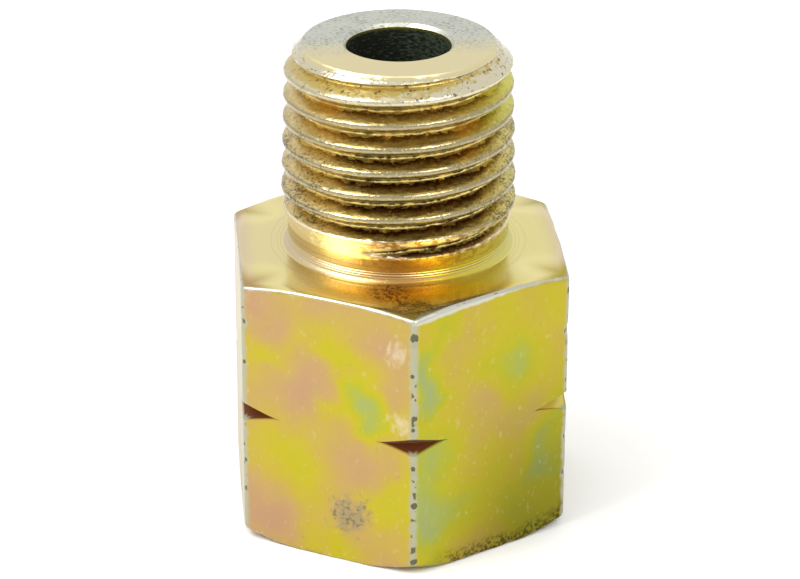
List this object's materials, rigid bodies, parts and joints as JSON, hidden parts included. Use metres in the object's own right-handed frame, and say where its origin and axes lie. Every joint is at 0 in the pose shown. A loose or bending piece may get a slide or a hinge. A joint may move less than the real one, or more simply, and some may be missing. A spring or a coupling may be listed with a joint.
{
  "type": "brake valve adapter",
  "caption": "Steel pipe adapter with a hexagon body, a tapered male pipe thread on a plain neck, a female port below and a passage drilled right through.",
  "frame": {"origin": "on the turning axis, in the plane of the foot face that the adapter stands on", "axes": "+Z along the turning axis towards the male thread, two hexagon corners on the Y axis, flats measured across X"},
  "size_m": [0.019, 0.022, 0.029],
  "materials": {
    "plated_steel": "yellow-passivated zinc plate, glossy, with pale worn edges and crests"
  },
  "bodies": {
    "root": {"adapter_body": "plated_steel"}
  },
  "joints": []
}
